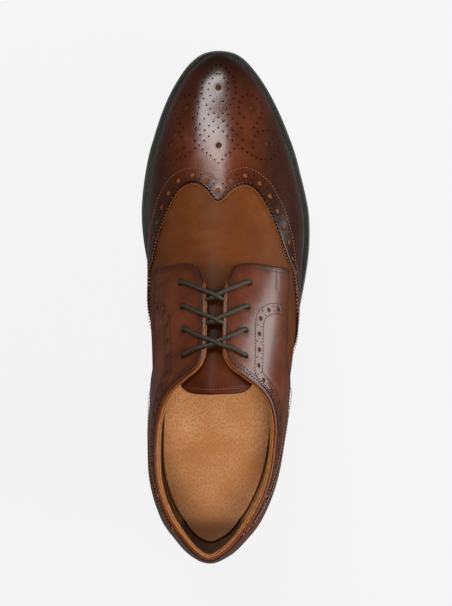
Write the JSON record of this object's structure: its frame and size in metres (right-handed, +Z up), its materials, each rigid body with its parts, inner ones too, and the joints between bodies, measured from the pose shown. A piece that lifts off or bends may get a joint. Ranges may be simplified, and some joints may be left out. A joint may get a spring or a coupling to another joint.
{
  "type": "brogue shoe",
  "caption": "Man's open-laced wing-tip shoe in brown leather, a hollow upper open at the collar on a rubber sole with a low stacked heel.",
  "frame": {"origin": "bottom centre of the shoe's box, on the floor that heel and forefoot rest on", "axes": "+Y towards the toe, +X towards the outer side of this right shoe, +Z up"},
  "size_m": [0.1048, 0.3054, 0.1026],
  "materials": {
    "sole_rubber": "matt moulded rubber",
    "welt_rubber": "ribbed rubber",
    "heel_stack": "matt, grooved between its lifts",
    "insole_pigskin": "pigskin with open pores",
    "vamp_leather": "smooth polished calf",
    "cap_leather": "burnished polished calf",
    "quarter_leather": "smooth polished calf",
    "tongue_leather": "soft calf",
    "lace_cord": "waxed round cord"
  },
  "bodies": {
    "root": {"outsole": "sole_rubber", "welt": "welt_rubber", "heel_block": "heel_stack", "heel_top_lift": "sole_rubber", "insole": "insole_pigskin", "upper": "vamp_leather", "wing_cap": "cap_leather", "quarter_medial": "quarter_leather", "quarter_lateral": "quarter_leather", "heel_counter": "quarter_leather", "tongue": "tongue_leather", "lace_crossing_1": "lace_cord", "lace_crossing_2": "lace_cord", "lace_crossing_3": "lace_cord"}
  },
  "joints": []
}
